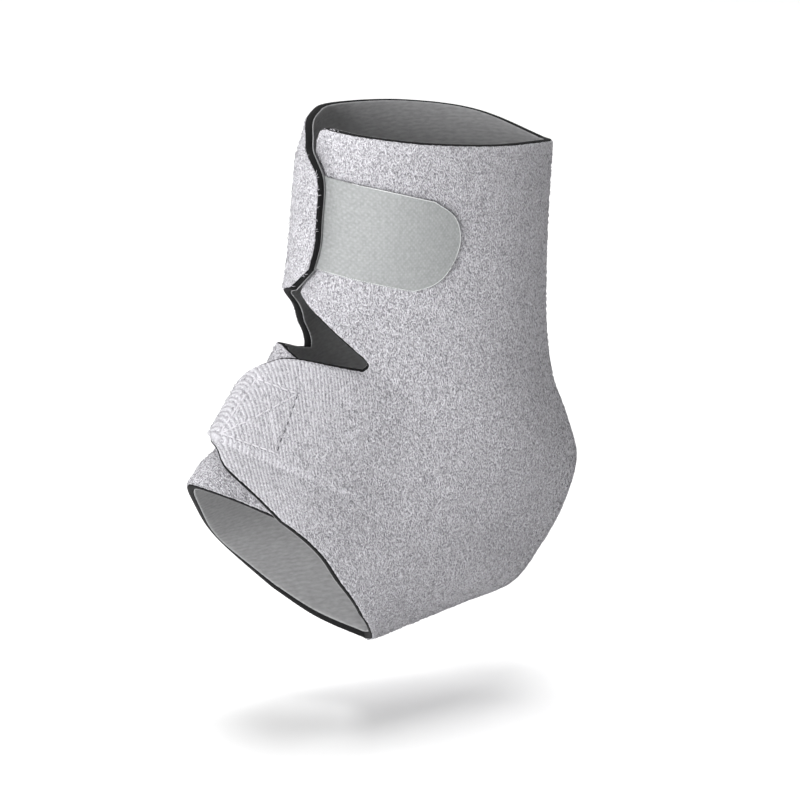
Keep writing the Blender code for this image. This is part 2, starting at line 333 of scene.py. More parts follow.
# Where they are half as strong as on the flap, as (along, round), and how far they fade
RIB_EDGE = [(3.5, 1.0), (4.6, 0.78), (6.0, 0.80), (8.0, 0.84), (10.0, 0.78), (11.0, 0.70)]
RIB_RAMP = 0.2

# Corners of the stitched box that holds the hook patch under the flap, as (round, along)
BOX_CORNERS = [(0.988, 6.02), (0.914, 6.03), (0.892, 8.45), (0.993, 8.57)]
GROOVE_DEPTH = 0.4
GROOVE_WIDTH = 0.55

# The pile sits this much below the outer face, so that its loops reach that face
PILE_SEAT = 0.1
# Loops that stand right out of the pile lie this many loop spacings apart, and each strays
# from its place by up to this share of the distance. The ribs take this share of them away.
PILE_SPREAD = 1.6
LOOP_JITTER = 0.35
RIB_THINNING = 0.7
# Before they stray, no loop lies nearer than this to a cut edge
BARE_EDGE = 2.1
# Half length and rise of a loop at least and at most, how far it bends sideways, how deep its
# ends sit, all in millimetres, and how much its lean varies, in radians
LOOP_HALF_LENGTH = (0.45, 1.0)
LOOP_RISE = (0.2, 0.45)
LOOP_BEND = 0.16
LOOP_SEAT = 0.1
LEAN_SPREAD = 0.4
# Thickness along a loop, over the yarn's, and the pile height whose tone a loop has, at least
# and at most
LOOP_TAPER = (0.5, 0.9, 1.1, 0.9, 0.5)
LOOP_TONES = (-1.5, 2.5)
LOOP_SIDES = 3
# Loose ends hang from the front edges on the leg, from this round on, this many to a panel
FRAYED_FROM = 0.95
FRAYED_ENDS = 14
# They start this deep under the outer face and this far in from the outline, hang down and
# away by these ranges, and slant by this spread, in millimetres. The power and the share of
# a half turn give their curve.
FRAYED_DEPTH = 0.35
FRAYED_INSET = 0.15
FRAYED_DOWN = (0.3, 1.3)
FRAYED_AWAY = (0.1, 0.4)
FRAYED_SLANT = 0.5
FRAYED_POWER = 1.4
FRAYED_TURN = 0.7
FRAYED_TAPER = (0.9, 0.8, 0.7, 0.5, 0.3)
FRAYED_SIDES = 4
# Outline points that the loops and the loose ends are placed by lie this far apart
LOOP_TRACE = 1.0
FRAYED_TRACE = 0.7
CHANCE_SEED = 8

# A stitch's gap from the next, its rise in the middle and the dip of its ends, and its
# thickness along it over the thread's
STITCH_GAP = 0.2
STITCH_RISE = 0.16
STITCH_DIP = 0.1
STITCH_TAPER = (0.6, 0.95, 1, 1, 1, 0.95, 0.6)
STITCH_SIDES = 8
# The box's right side has dark stitches, in short dashes
DARK_STITCH_GAP = 1.7

# Zigzag stitch over the seam: its reach to either side, and its heights at the ends and the
# middle of a stitch, in millimetres, and its thickness over the box's thread. SEAM_START
# and SEAM_END are alongs.
ZIGZAG_REACH = 1.7
ZIGZAG_HEIGHTS = (-0.25, 0.2)
ZIGZAG_THICKNESS = 0.5
ZIGZAG_STEPS = 6
ZIGZAG_SIDES = 6
SEAM_START = 0.05
SEAM_END = 11.95

# Sizes of the patterns in the materials, in millimetres
FOAM_CELL = 0.4
LINING_COURSE = 1.4
LINING_SLUB = (2.6, 2.6, 0.8)
HOOK_ROWS = (1.3, 1.9)
HOOK_WEAVE = 1.1

# Camera of the photograph, in degrees and metres
AZIMUTH = 54.0
ELEVATION = 15.0
DISTANCE = 2.5
SENSOR = 0.036
FRAME_WIDTH = 0.284      # width of the view where the brace is
ORIGIN_RIGHT = 0.01065   # how far the brace's origin lies right of and above the view's middle
ORIGIN_ABOVE = 0.00533
FLOOR_Z = -0.113
FLOOR_HALF = 6.0
WORLD_STRENGTH = 0.03
# Soft round lights, each at a direction given as for the camera. Size is the width of its
# disc, and energy its power in watts.
Softbox = namedtuple("Softbox", "name azimuth elevation distance size energy")
SOFTBOXES = (
    Softbox("key_softbox", 23, 12, 1.3, 0.6, 19),
    Softbox("front_left_fill", -45, 12, 1.3, 0.6, 5.5),
    Softbox("right_fill", 85, 20, 1.3, 0.6, 1.4),
    Softbox("back_side_fill", 150, 20, 1.3, 0.6, 1.4),
    Softbox("left_back_fill", -120, 20, 1.3, 0.6, 0.6),
    Softbox("back_softbox", 234, 62, 2.5, 2.0, 35),
    Softbox("ceiling", 0, 89, 2.2, 1.6, 31),
)


def linear(code):
    """Linear colour of an sRGB hex code."""
    parts = (int(code[i : i + 2], 16) / 255 for i in (0, 2, 4))
    return tuple(c / 12.92 if c <= 0.04045 else ((c + 0.055) / 1.055) ** 2.4 for c in parts)


def length_property(name, description, default, least):
    """A length that a user may change, in metres."""
    return FloatProperty(
        name=name,
        description=description,
        default=default,
        min=least,
        subtype="DISTANCE",
        unit="LENGTH",
    )


def colour_property(name, description, code):
    """A colour that a user may change, from an sRGB hex code."""
    return FloatVectorProperty(
        name=name,
        description=description,
        default=linear(code),
        min=0.0,
        max=1.0,
        subtype="COLOR",
    )


class BraceSizes(bpy.types.PropertyGroup):
    """Sizes of the cloth and its trim."""

    loop_spacing: length_property(
        "Loop spacing", "Distance between the loops of the outer knit", 0.0013, 0.0005
    )
    loop_height: length_property(
        "Loop height", "How far the loops stand out of the knit", 0.00014, 0.0
    )
    mesh_spacing: length_property(
        "Mesh spacing", "Distance between points on the outer face", 0.0006, 0.0003
    )
    yarn_width: length_property(
        "Yarn width", "Thickness of the loops and of the loose ends", 0.00024, 0.00005
    )
    stitch_length: length_property(
        "Stitch length", "Distance from one stitch of the box to the next", 0.0033, 0.001
    )
    thread_width: length_property("Thread width", "Thickness of the sewing thread", 0.0007, 0.0001)
    zigzag_pitch: length_property(
        "Zigzag pitch", "Length of seam that one zigzag stitch takes", 0.0022, 0.001
    )
    fray: length_property("Fray", "How far the cut edge of the knit wanders", 0.0002, 0.0)


class BraceColours(bpy.types.PropertyGroup):
    """Colours of the cloth and its trim."""

    knit: colour_property("Knit", "Outer loop-faced knit", "D1D0D5")
    # The pit colour is partly the knit's own ground and partly painted shade in the pits
    knit_pit_and_shade: colour_property("Knit pits", "Gaps between the loops of the outer knit", "848287")
    foam: colour_property("Foam", "Foam core, seen at the cut edges", "0B0B0C")
    lining: colour_property("Lining", "Knit lining", "929293")
    hook: colour_property("Hook tape", "Hook tab and hook patch", "888A8A")
    # The tape edge colour is partly the heat-sealed edge's own colour and partly a painted highlight along the rim
    tape_edge: colour_property("Tape edge", "Heat-sealed edge of the hook tapes", "D6D8D8")
    thread: colour_property("Thread", "Sewing thread", "BEBCC1")
    # Colour of the short dark stitches along the box's right side
    dark_stitches: colour_property(
        "Under thread", "Bobbin thread, pulled up along one side of the box", "4A494D"
    )


def smooth_step(value):
    """Smooth ramp from 0 at 0 to 1 at 1."""
    value = np.clip(value, 0.0, 1.0)
    return value * value * (3 - 2 * value)


def unit(vectors):
    """Vectors of length 1 in the same directions."""
    return vectors / np.linalg.norm(vectors, axis=-1, keepdims=True)


def steps_of(path):
    """Distance from each point of a path to the next."""
    return np.linalg.norm(np.diff(path, axis=0), axis=1)


def reach_of(path):
    """Distance along a path from its start to each of its points."""
    return np.concatenate([[0], np.cumsum(steps_of(path))])


def nearest_tree(points):
    """Tree that finds the nearest of some points."""
    tree = KDTree(len(points))
    for i, place in enumerate(points):
        tree.insert(place, i)
    tree.balance()
    return tree


def catmull_rom(values, at):
    """Value of a smooth curve through equally spaced values, straight beyond its ends."""
    last = len(values) - 1
    i = min(max(int(math.floor(at)), 0), last - 1)
    f = at - i
    here, there = values[i], values[i + 1]
    before = values[i - 1] if i > 0 else 2 * here - there
    after = values[i + 2] if i + 2 <= last else 2 * there - here
    m0, m1 = (there - before) / 2, (after - here) / 2
    if f < 0:
        return here + m0 * f
    if f > 1:
        return there + m1 * (f - 1)
    return (
        (2 * f**3 - 3 * f**2 + 1) * here
        + (f**3 - 2 * f**2 + f) * m0
        + (3 * f**2 - 2 * f**3) * there
        + (f**3 - f**2) * m1
    )


def natural_cubic(points, count):
    """Evenly sampled cubic curve through points, with free ends."""
    chords = steps_of(points) ** KNOT_POWER
    knots = np.concatenate([[0.0], np.cumsum(chords)])
    n = len(points)
    system = np.eye(n)
    right = np.zeros((n, 2))
    for i in range(1, n - 1):
        before, after = chords[i - 1], chords[i]
        system[i, i - 1 : i + 2] = before, 2 * (before + after), after
        right[i] = 6 * (
            (points[i + 1] - points[i]) / after - (points[i] - points[i - 1]) / before
        )
    bend = np.linalg.solve(system, right)
    at = np.linspace(0, knots[-1], count)
    i = np.clip(np.searchsorted(knots, at, side="right") - 1, 0, n - 2)
    h = chords[i][:, None]
    a = (knots[i + 1] - at)[:, None]
    b = (at - knots[i])[:, None]
    return (
        (bend[i] * a**3 + bend[i + 1] * b**3) / (6 * h)
        + (points[i] / h - bend[i] * h / 6) * a
        + (points[i + 1] / h - bend[i + 1] * h / 6) * b
    )


class Surface:
    """The outer face of the wrap, read at any place on the cloth. Lengths in millimetres."""

    FIRST, LAST, ROWS, COLUMNS, HALF_POINTS = -1.0, 13.0, 281, 151, 200

    def __init__(self):
        rows = np.linspace(self.FIRST, self.LAST, self.ROWS)
        self.points = np.array([self.half_section(at) for at in rows])
        out = unit(np.cross(np.gradient(self.points, axis=1), np.gradient(self.points, axis=0)))
        out[:, -1, 0] = 0.0
        out[:, -1] = unit(out[:, -1])
        # The two panels mitre at the seam, so that direction stays in its plane.
        seam = out[:, 0].copy()
        seam[:, 0] = 0.0
        out[:, 0] = seam / np.sum(seam * seam, axis=1, keepdims=True)
        self.out = out

    def half_section(self, along):
        """Left half of a section, from the seam to the front, equally spaced."""
        row = Section(*(catmull_rom(column, along) for column in zip(*SECTIONS)))
        rise = np.array([row.front_y - row.back_y, row.front_z - row.back_z])
        depth = np.hypot(*rise)
        full = row.half_width
        half = [
            (0.0, 0.0),
            (full * row.back_fullness, BACK_SHARE * depth),
            (full, 0.5 * depth),
            (full * row.front_fullness, FRONT_SHARE * depth),
            (0.0, depth),
        ]
        other = [(-side, deep) for side, deep in reversed(half[:-1])]
        count = 2 * self.HALF_POINTS + 1
        curve = natural_cubic(np.array(half + other), count)[: self.HALF_POINTS + 1]
        length = reach_of(curve)
        even = np.linspace(0, length[-1], self.COLUMNS)
        side = np.interp(even, length, curve[:, 0])
        share = np.interp(even, length, curve[:, 1]) / depth
        return np.stack([side, row.back_y + rise[0] * share, row.back_z + rise[1] * share], 1)

    def read(self, rounds, alongs):
        """Points and outward directions on the left side, for rounds of 0 to 1."""
        i = (alongs - self.FIRST) / (self.LAST - self.FIRST) * (self.ROWS - 1)
        j = rounds * (self.COLUMNS - 1)
        i0 = np.clip(i.astype(int), 0, self.ROWS - 2)
        j0 = np.clip(j.astype(int), 0, self.COLUMNS - 2)
        fi, fj = (i - i0)[:, None], (j - j0)[:, None]
        read = []
        for grid in (self.points, self.out):
            near = grid[i0, j0] * (1 - fj) + grid[i0, j0 + 1] * fj
            far = grid[i0 + 1, j0] * (1 - fj) + grid[i0 + 1, j0 + 1] * fj
            read.append(near * (1 - fi) + far * fi)
        return read

    def at(self, side, rounds, alongs, heights):
        """Points at heights over the outer face. Beyond round 1 they are on the other side."""
        rounds, alongs = np.asarray(rounds, float), np.asarray(alongs, float)
        over = rounds > 1
        points, out = self.read(np.where(over, 2 - rounds, rounds), alongs)
        points = points + out * np.asarray(heights, float)[..., None]
        near_seam = ~over & (rounds < 0.5)
        x = np.where(near_seam, np.maximum(points[:, 0], SEAM_GAP / 2), points[:, 0])
        points[:, 0] = np.where(over, -side, side) * x
        return points

    def half_girth(self, along):
        """Length of the cloth from the seam to the front at one section."""
        return np.sum(steps_of(self.half_section(along)))


SURFACE = Surface()


def flat(rounds, alongs):
    """No lift: the cloth lies on the wrap's outer face."""
    return np.zeros(len(rounds))


def left_lift(rounds, alongs):
    """The left lower wing rises over the edge of the right one."""
    edge = np.interp(alongs, *zip(*HIDDEN_EDGE))
    past_patch = smooth_step((alongs - PATCH_END) / PATCH_RAMP)
    full = FOOT_LIFT + (BARE_LIFT - FOOT_LIFT) * past_patch
    return full * smooth_step((rounds - edge) / HIDDEN_RAMP + 1)


def right_lift(rounds, alongs):
    """The right upper wing rises over the front edge of the left one, and over the tab."""
    up = smooth_step((rounds - WING_START) / WING_RAMP)
    over_tab = smooth_step((alongs - TAB_START) / TAB_RAMP)
    full = BARE_LIFT + (LEG_LIFT - BARE_LIFT) * over_tab
    curl = CURL * (1 - smooth_step(alongs / CURL_DEPTH))
    curl *= 1 - smooth_step(np.abs(rounds - CURL_MIDDLE) / CURL_REACH)
    free = smooth_step((alongs - np.interp(rounds, *zip(*FLAP_END))) / STRIP_RAMP)
    strip = STRIP_RISE * free * smooth_step((rounds - STRIP_START) / STRIP_FADE)
    return full * up * (1 - smooth_step((alongs - WING_END) / WING_FADE)) - curl + strip


def trace(runs, step):
    """Outline as rounds and alongs, with a point about every step millimetres."""
    rounds, alongs = [], []
    for run in runs:
        columns = list(zip(*run))
        at = np.linspace(0, len(run) - 1, TRACE_POINTS * (len(run) - 1) + 1)
        curve = np.array([[catmull_rom(column, a) for column in columns] for a in at])
        points = SURFACE.at(1, curve[:, 0], curve[:, 1], np.zeros(len(curve)))
        length = reach_of(points)
        count = max(1, round(length[-1] / step))
        even = np.linspace(0, length[-1], count + 1)[:-1]
        rounds.append(np.interp(even, length, curve[:, 0]))
        alongs.append(np.interp(even, length, curve[:, 1]))
    return np.concatenate(rounds), np.concatenate(alongs)


def inner_points(rounds, alongs, spacing, margin):
    """Staggered rows of points inside an outline, none nearer to it than margin."""
    tree = nearest_tree(np.stack([rounds * ROUND_SCALE, alongs * ALONG_SCALE, 0 * rounds], 1))
    next_r, next_a = np.roll(rounds, -1), np.roll(alongs, -1)
    kept = []
    row_step = spacing * math.sqrt(0.75) / ALONG_SCALE
    for row, along in enumerate(np.arange(alongs.min(), alongs.max(), row_step)):
        crossed = (alongs > along) != (next_a > along)
        share = (along - alongs[crossed]) / (next_a - alongs)[crossed]
        ends = np.sort(rounds[crossed] + share * (next_r - rounds)[crossed])
        step = spacing / SURFACE.half_girth(along)
        gap = margin / ROUND_SCALE
        for start, stop in zip(ends[::2], ends[1::2]):
            shift = step * 0.5 * (row % 2)
            for r in np.arange(start + gap + shift, stop - gap, step):
                kept.append((r, along))
    kept = np.array(kept)
    far = [
        tree.find((r * ROUND_SCALE, a * ALONG_SCALE, 0))[2] > margin for r, a in kept
    ]
    return kept[far]


def fill(rounds, alongs, spacing, margin):
    """Triangles over an outline: its own points come first, then the inner ones."""
    inner = inner_points(rounds, alongs, spacing, margin)
    points = np.concatenate([np.stack([rounds, alongs], 1), inner])
    paper = [Vector((r * ROUND_SCALE, a * ALONG_SCALE)) for r, a in points]
    loop = list(range(len(rounds)))
    # Output type 1 keeps the triangles inside the outline
    found = delaunay_2d_cdt(paper, [], [loop], 1, 1e-6)
    first = [source[0] for source in found[3]]
    faces = np.array([[first[i] for i in face] for face in found[2]])
    return points, faces


def grain(points, size, seed):
    """Smooth random heights round 0, in strokes of the pile. size is in millimetres."""
    x, y, z = points.T
    lean, upright = math.sin(PILE_LEAN), math.cos(PILE_LEAN)
    turned = np.stack([x, y * upright + z * lean, z * upright - y * lean], 1)
    places = turned / (np.array(PILE_SHAPE) * size) + seed
    return np.array([noise.noise(Vector(place)) for place in places])


def pile_relief(points, spacing):
    """Height of the pile over the knit, mostly from -1 in its pits to 1 on its loops."""
    return sum(
        each.share * grain(points, each.size * spacing, each.seed) for each in PILE_NOISES
    )


def rib_share(rounds, alongs):
    """1 where the ribs of the knit show, on the foot flap, and 0 on the sides."""
    edge = np.interp(alongs, *zip(*RIB_EDGE))
    return smooth_step((rounds - edge) / RIB_RAMP + 0.5)


def box_lines():
    """Runs of stitching on the foot flap: the box, right side last, and its two diagonals."""
    a, b, c, d = BOX_CORNERS
    return [[a, b], [c, d], [d, a], [d, b], [a, c], [b, c]]


def groove(points):
    """Depth to which the stitches of the box draw the flap down."""
    line = np.concatenate([np.linspace(*run, GROOVE_POINTS) for run in box_lines()])
    tree = nearest_tree(SURFACE.at(1, *line.T, left_lift(*line.T)))
    near = np.array([tree.find(place)[2] for place in points])
    return GROOVE_DEPTH * np.exp(-((near / GROOVE_WIDTH) ** 2))


def store(mesh, name, values):
    """A number for each point of a mesh, which its material reads by name."""
    layer = mesh.attributes.new(name, "FLOAT", "POINT")
    layer.data.foreach_set("value", np.asarray(values, np.float32))


def make_object(name, points, faces, material, attributes=()):
    """A mesh object from points in millimetres, on the brace's body."""
    mesh = bpy.data.meshes.new(name)
    faces = np.asarray(faces, np.int32)
    count, corners = faces.shape
    mesh.vertices.add(len(points))
    mesh.vertices.foreach_set("co", (np.asarray(points) * MM).astype(np.float32).ravel())
    mesh.loops.add(faces.size)
    mesh.loops.foreach_set("vertex_index", faces.ravel())
    mesh.polygons.add(count)
    mesh.polygons.foreach_set("loop_start", np.arange(0, faces.size, corners, dtype=np.int32))
    for key, values in attributes:
        store(mesh, key, values)
    mesh.update(calc_edges=True)
    mesh.validate()
    mesh.shade_smooth()
    mesh.materials.append(material)
    made = bpy.data.objects.new(name, mesh)
    bpy.context.collection.objects.link(made)
    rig.ride(made, BODY)
    return made


# A layer's edge, from the outer face round to the inner one, as distance from the outline
# and height in millimetres
Turn = namedtuple("Turn", "inset height")
KNIT_EDGE = [
    Turn(1.0, 0.0),
    Turn(0.72, -0.06),
    Turn(0.54, -0.2),
    Turn(0.48, -0.38),
    Turn(0.54, -0.52),
    Turn(0.8, KNIT_FOOT),
]
FOAM_EDGE = [
    Turn(0.3, KNIT_FOOT),
    Turn(0.06, -0.8),
    Turn(0.0, -1.9),
    Turn(0.1, -2.9),
    Turn(0.35, FOAM_FOOT),
]
LINING_EDGE = [
    Turn(0.5, FOAM_FOOT),
    Turn(0.25, -3.26),
    Turn(0.15, -3.42),
    Turn(0.25, -3.6),
    Turn(0.6, LINING_FOOT),
]
# The fray wanders over this many millimetres, and fades over this much round at the seam
FRAY_SIZE = 0.9
FRAY_FADE = 0.03
# Insets point towards this side of an outline, given as (round, along). A panel holds the
# place and a hook tape doesn't, so a tape's insets reach outward, as a thin lip round it.
INSET_SIDE = (0.5, 2.0)
# Outline points nearer than this much round to the seam lie on it
ON_SEAM = 1e-6


def edge_frame(side, rounds, alongs, lift):
    """Points of an outline, with their directions out of the cloth and inset along it."""
    raised = lift(rounds, alongs)
    base = SURFACE.at(side, rounds, alongs, raised)
    out = SURFACE.at(side, rounds, alongs, raised + 1) - base
    out[:, 0] = np.where(rounds < ON_SEAM, 0.0, out[:, 0])
    out = unit(out)
    inset = unit(np.cross(np.roll(base, -1, axis=0) - np.roll(base, 1, axis=0), out))
    middle, level = INSET_SIDE
    towards = SURFACE.at(side, [middle], [level], [0.0])[0]
    k = int(np.argmin(np.abs(alongs - level) + np.abs(rounds)))
    if (towards - base[k]) @ inset[k] < 0:
        inset = -inset
    return base, out, inset


def sheet(name, side, runs, edge, spacings, lift, material, relief=None, fray=0.0):
    """Closed layer of cloth with a rounded edge, and the area of its outer face.

    spacings are the distances between points on the outer and on the inner face. relief
    takes points, rounds and alongs, and gives heights and attributes for the outer face.
    fray is how far a cut edge wanders. The seam's edge stays straight.
    """
    outer_step, inner_step = spacings
    least, most = EDGE_STEPS
    rounds, alongs = trace(runs, min(most, max(least, outer_step)))
    n = len(rounds)
    base, out, inset = edge_frame(side, rounds, alongs, lift)
    wander = np.array([noise.noise(Vector(place)) for place in base / FRAY_SIZE])
    wander *= fray * np.clip(rounds / FRAY_FADE, 0, 1)

    rings = [
        base + inset * (turn.inset + wander)[:, None] + out * turn.height for turn in edge
    ]
    upper, upper_faces = fill(rounds, alongs, outer_step, edge[0].inset + 0.5 * outer_step)
    lower, lower_faces = fill(rounds, alongs, inner_step, edge[-1].inset + 0.5 * inner_step)
    flat_upper = SURFACE.at(side, *upper[n:].T, lift(*upper[n:].T) + edge[0].height)
    flat_lower = SURFACE.at(side, *lower[n:].T, lift(*lower[n:].T) + edge[-1].height)
    points = np.concatenate([*rings, flat_upper, flat_lower])
    places = np.concatenate([np.stack([rounds, alongs], 1)] * len(rings) + [upper[n:], lower[n:]])

    first_upper = n * len(rings)
    first_lower = first_upper + len(flat_upper)
    last_ring = n * (len(rings) - 1)
    top = np.where(upper_faces < n, upper_faces, upper_faces - n + first_upper)
    foot = np.where(lower_faces < n, lower_faces + last_ring, lower_faces - n + first_lower)
    a = np.arange(n)
    b = np.roll(a, -1)
    walls = []
    for ring in range(len(rings) - 1):
        up, down = ring * n, (ring + 1) * n
        walls.append(np.stack([a + down, b + down, b + up], 1))
        walls.append(np.stack([a + down, b + up, a + up], 1))
    faces = np.concatenate([top, foot[:, ::-1], *walls])
    if side < 0:
        faces = faces[:, ::-1]
    corners = points[top]
    crossed = np.cross(corners[:, 1] - corners[:, 0], corners[:, 2] - corners[:, 0])
    area = np.sum(np.linalg.norm(crossed, axis=1)) / 2

    order = np.arange(len(points))
    attributes = [("edge", ((order >= n) & (order < first_upper)).astype(float))]
    if relief:
        heights, more = relief(points, *places.T)
        attributes += more
        directions = np.concatenate(
            [out] * len(rings)
            + [normals_at(side, upper[n:], lift), normals_at(side, lower[n:], lift)]
        )
        heights[first_lower:] = 0
        points = points + directions * heights[:, None]
    return make_object(name, points, faces, material, attributes), area * MM * MM


def flat_size(runs, area):
    """Size of the rectangle that a panel is cut from, in metres, and the area of the cut."""
    rounds, alongs = trace(runs, FLAT_STEP)
    reach = max(r * SURFACE.half_girth(a) for r, a in zip(rounds[::5], alongs[::5]))
    middle = np.linspace(alongs.min(), alongs.max(), MIDDLE_POINTS)
    path = SURFACE.at(1, 0 * middle + 0.5, middle, 0 * middle)
    return {"flat": (reach * MM, np.sum(steps_of(path)) * MM), "area": area}


def tubes(paths, out, radii, sides):
    """Closed tubes along many paths at once, as points and triangles.

    paths holds a row of points for each tube, out a direction that none of them runs in,
    and radii the thickness at each step.
    """
    count, steps, _ = paths.shape
    ahead = np.gradient(paths, axis=1)
    right = unit(np.cross(ahead, out[:, None, :]))
    over = unit(np.cross(ahead, right))
    turn = 2 * math.pi * np.arange(sides) / sides
    ring = right[:, :, None] * np.cos(turn)[:, None] + over[:, :, None] * np.sin(turn)[:, None]
    points = paths[:, :, None] + ring * np.asarray(radii)[:, None, None]

    j = np.arange(sides)
    k = np.roll(j, -1)
    near = np.arange(steps - 1)[:, None] * sides
    a, b = near + j, near + k
    c, d = b + sides, a + sides
    wall = np.concatenate([np.stack([a, b, c], 2), np.stack([a, c, d], 2)]).reshape(-1, 3)
    fan = np.stack([np.zeros(sides - 2, int), j[1:-1], j[2:]], 1)
    one = np.concatenate([wall, fan[:, ::-1], fan + (steps - 1) * sides])
    faces = one[None] + (np.arange(count) * steps * sides)[:, None, None]
    return points.reshape(-1, 3), faces.reshape(-1, 3)


def stitches(lines, side, lift, length, gap, depth):
    """Paths of straight stitches along runs on a panel, and the directions out of it."""
    paths, outs = [], []
    for run in lines:
        places = np.linspace(*run, STITCH_POINTS)
        reach = reach_of(SURFACE.at(side, *places.T, lift(*places.T)))
        count = max(1, round(reach[-1] / length))
        share = np.linspace(-1, 1, len(STITCH_TAPER))
        for i in range(count):
            at = (i + 0.5 + share * (0.5 - gap / length / 2)) * reach[-1] / count
            rounds, alongs = (np.interp(at, reach, column) for column in places.T)
            height = lift(rounds, alongs) - depth
            height = height + STITCH_RISE * (1 - share**4) - STITCH_DIP * share**6
            path = SURFACE.at(side, rounds, alongs, height)
            paths.append(path)
            outs.append(SURFACE.at(side, rounds[:1], alongs[:1], height[:1] + 1)[0] - path[0])
    return np.array(paths), np.array(outs)


def normals_at(side, places, lift):
    """Directions out of a panel at places on it."""
    rounds, alongs = places.T
    raised = lift(rounds, alongs)
    base = SURFACE.at(side, rounds, alongs, raised)
    return unit(SURFACE.at(side, rounds, alongs, raised + 1) - base)


def add(tree, kind, settings=(), inputs=()):
    """Adds a shader node. Inputs are values or other nodes' sockets, by name or number."""
    made = tree.nodes.new("ShaderNode" + kind)
    for name, value in dict(settings).items():
        setattr(made, name, value)
    for name, value in dict(inputs).items():
        if isinstance(value, bpy.types.NodeSocket):
            tree.links.new(value, made.inputs[name])
        else:
            made.inputs[name].default_value = value
    return made


def new_material(name):
    """A material with its node tree and its shader."""
    material = bpy.data.materials.new(name)
    material.use_nodes = True
    return material, material.node_tree, material.node_tree.nodes["Principled BSDF"]


def opaque(colour):
    """The colour with full alpha, as shader sockets take it."""
    return (*colour, 1.0)


def tinted(tree, colour, pattern, tones, reach=(0.0, 1.0)):
    """A colour scaled by tones, from the first to the last, as a pattern runs over a reach."""
    inputs = {"Value": pattern, "From Min": reach[0], "From Max": reach[1]}
    inputs |= {"To Min": tones[0], "To Max": tones[1]}
    tone = add(tree, "MapRange", {}, inputs).outputs[0]
    scaled = {0: tuple(colour), "Scale": tone}
    return add(tree, "VectorMath", {"operation": "SCALE"}, scaled).outputs[0]


def loop_knit_material():
    """Brushed nylon loop knit: matt, with light strokes of pile over darker pits. The pits are darker partly by the
    knit's own ground colour and partly by painted shade.
    """
    sizes, colours = bpy.context.scene.brace_sizes, bpy.context.scene.brace_colours
    material, tree, shader = new_material("brushed_nylon_loop_knit")
    place = add(tree, "TexCoord").outputs["Object"]
    stroke = add(
        tree,
        "Mapping",
        {"vector_type": "TEXTURE"},
        {
            "Vector": place,
            "Rotation": (PILE_LEAN, 0, 0),
            "Scale": [share * sizes.loop_spacing for share in PILE_SHAPE],
        },
    ).outputs[0]
    pile = add(tree, "TexNoise", {}, {"Vector": stroke, "Scale": 1.0, "Detail": 1.5})
    # Nylon fibres are 0.03 mm thick, and are drawn about five times as coarse so that they show
    fibres = add(tree, "TexNoise", {}, {"Vector": stroke, "Scale": 3.5, "Detail": 2.0})
    across = add(
        tree,
        "VectorMath",
        {"operation": "DOT_PRODUCT"},
        {0: place, 1: [v * 2 * math.pi / (RIB_SPACING * MM) for v in RIB_PLANE]},
    )
    phase = add(
        tree,
        "Math",
        {"operation": "MULTIPLY_ADD"},
        {0: pile.outputs[0], 1: 5.0, 2: across.outputs["Value"]},
    )
    wave = add(tree, "Math", {"operation": "COSINE"}, {0: phase.outputs[0]})
    ribs = add(
        tree,
        "MapRange",
        {},
        {"Value": wave.outputs[0], "From Min": -1.0, "To Min": 0.32, "To Max": 0.68},
    )
    broken = add(
        tree,
        "Mix",
        {"data_type": "FLOAT"},
        {"Factor": 0.5, "A": ribs.outputs[0], "B": pile.outputs[0]},
    )
    ribbed = add(tree, "Attribute", {"attribute_name": "rib"}).outputs["Fac"]
    relief = add(
        tree,
        "Mix",
        {"data_type": "FLOAT"},
        {"Factor": ribbed, "A": pile.outputs[0], "B": broken.outputs[0]},
    )
    height = add(
        tree,
        "Math",
        {"operation": "MULTIPLY_ADD"},
        {0: fibres.outputs[0], 1: 0.3, 2: relief.outputs[0]},
    )
    loops = add(tree, "Attribute", {"attribute_name": "relief"}).outputs["Fac"]
    raised = add(
        tree,
        "Math",
        {"operation": "MULTIPLY_ADD"},
        {0: loops, 1: 0.05, 2: height.outputs[0]},
    )
    # The colour follows the pile's height, lighter on the loops and darker in the pits and between the ribs: partly
    # the knit's own ground colour, partly painted shade
    tone = add(
        tree,
        "MapRange",
        {},
        {"Value": raised.outputs[0], "From Min": 0.47, "From Max": 0.83},
    )
    colour = add(
        tree,
        "Mix",
        {"data_type": "RGBA"},
        {"Factor": tone.outputs[0], "A": opaque(colours.knit_pit_and_shade), "B": opaque(colours.knit)},
    )
    bump = add(
        tree,
        "Bump",
        {},
        {"Height": height.outputs[0], "Strength": 1.0, "Distance": sizes.loop_height * 7},
    )
    tree.links.new(colour.outputs["Result"], shader.inputs["Base Color"])
    tree.links.new(bump.outputs["Normal"], shader.inputs["Normal"])
    shader.inputs["Roughness"].default_value = 0.95
    shader.inputs["Specular IOR Level"].default_value = 0.2
    shader.inputs["Sheen Weight"].default_value = 0.1
    shader.inputs["Sheen Roughness"].default_value = 0.5
    return material


def foam_material():
    """Sliced neoprene foam: black and matt, with fine open cells at the cut."""
    colours = bpy.context.scene.brace_colours
    material, tree, shader = new_material("sliced_neoprene_foam")
    place = add(tree, "TexCoord").outputs["Object"]
    # Cells are 0.1 to 0.2 mm across, and are drawn at 0.4 mm so that they show
    cells = add(tree, "TexVoronoi", {}, {"Vector": place, "Scale": 1 / (FOAM_CELL * MM)})
    bump = add(
        tree,
        "Bump",
        {},
        {"Height": cells.outputs["Distance"], "Strength": 0.5, "Distance": 0.1 * MM},
    )
    colour = tinted(tree, colours.foam, cells.outputs["Distance"], (0.7, 1.6))
    tree.links.new(colour, shader.inputs["Base Color"])
    tree.links.new(bump.outputs["Normal"], shader.inputs["Normal"])
    shader.inputs["Roughness"].default_value = 0.9
    shader.inputs["Specular IOR Level"].default_value = 0.25
    return material


